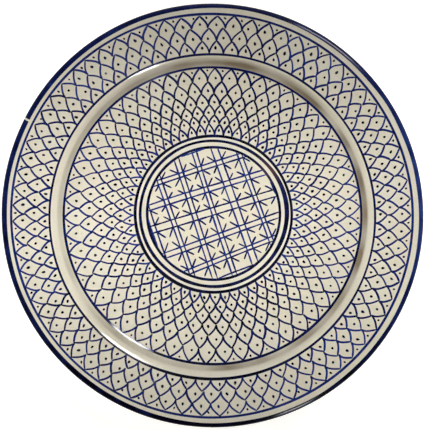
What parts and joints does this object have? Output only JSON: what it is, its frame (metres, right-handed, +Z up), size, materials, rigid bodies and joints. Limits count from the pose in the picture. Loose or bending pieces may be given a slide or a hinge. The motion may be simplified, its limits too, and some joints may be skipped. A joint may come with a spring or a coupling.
{
  "type": "serving plate",
  "caption": "Round hand-painted glazed earthenware serving plate with a sloping rim, a sunken well, a rounded lip and a foot ring.",
  "frame": {"origin": "centre of the foot ring's resting face, on the plate's own axis", "axes": "+Z up out of the face of the plate, along the axis it was thrown on; +X to the right and +Y away from a person who looks down on the face with the lattice's near-level lines rising to the right"},
  "size_m": [0.3499, 0.35, 0.0383],
  "materials": {
    "fired_clay": "bare buff-red earthenware, matt and slightly gritty",
    "cream_glaze": "glossy cream tin glaze with faint pooling and pinholes",
    "back_glaze": "glossy cream glaze, thinner and uneven over turning marks",
    "lip_cobalt": "thick navy cobalt melted into the glaze, streaked blue where thin",
    "line_cobalt": "brushed cobalt line, glossy",
    "brush_cobalt": "fine cobalt brush strokes, paler where the brush runs dry",
    "dot_cobalt": "loaded cobalt dabs, nearly black in the middle",
    "dark_cobalt": "heavy banding in near-black cobalt, glossy"
  },
  "bodies": {
    "root": {"clay_body": "fired_clay", "face_glaze": "cream_glaze", "back_glaze": "back_glaze", "lip_band": "lip_cobalt", "rim_line": "line_cobalt", "rim_scales": "brush_cobalt", "rim_dots": "dot_cobalt", "ledge_ring": "dark_cobalt", "well_ring": "line_cobalt", "well_scales": "brush_cobalt", "well_dots": "dot_cobalt", "centre_outer_ring": "dark_cobalt", "centre_mid_ring": "dark_cobalt", "centre_inner_ring": "line_cobalt", "centre_grid": "brush_cobalt", "centre_dashes": "dot_cobalt"}
  },
  "joints": []
}
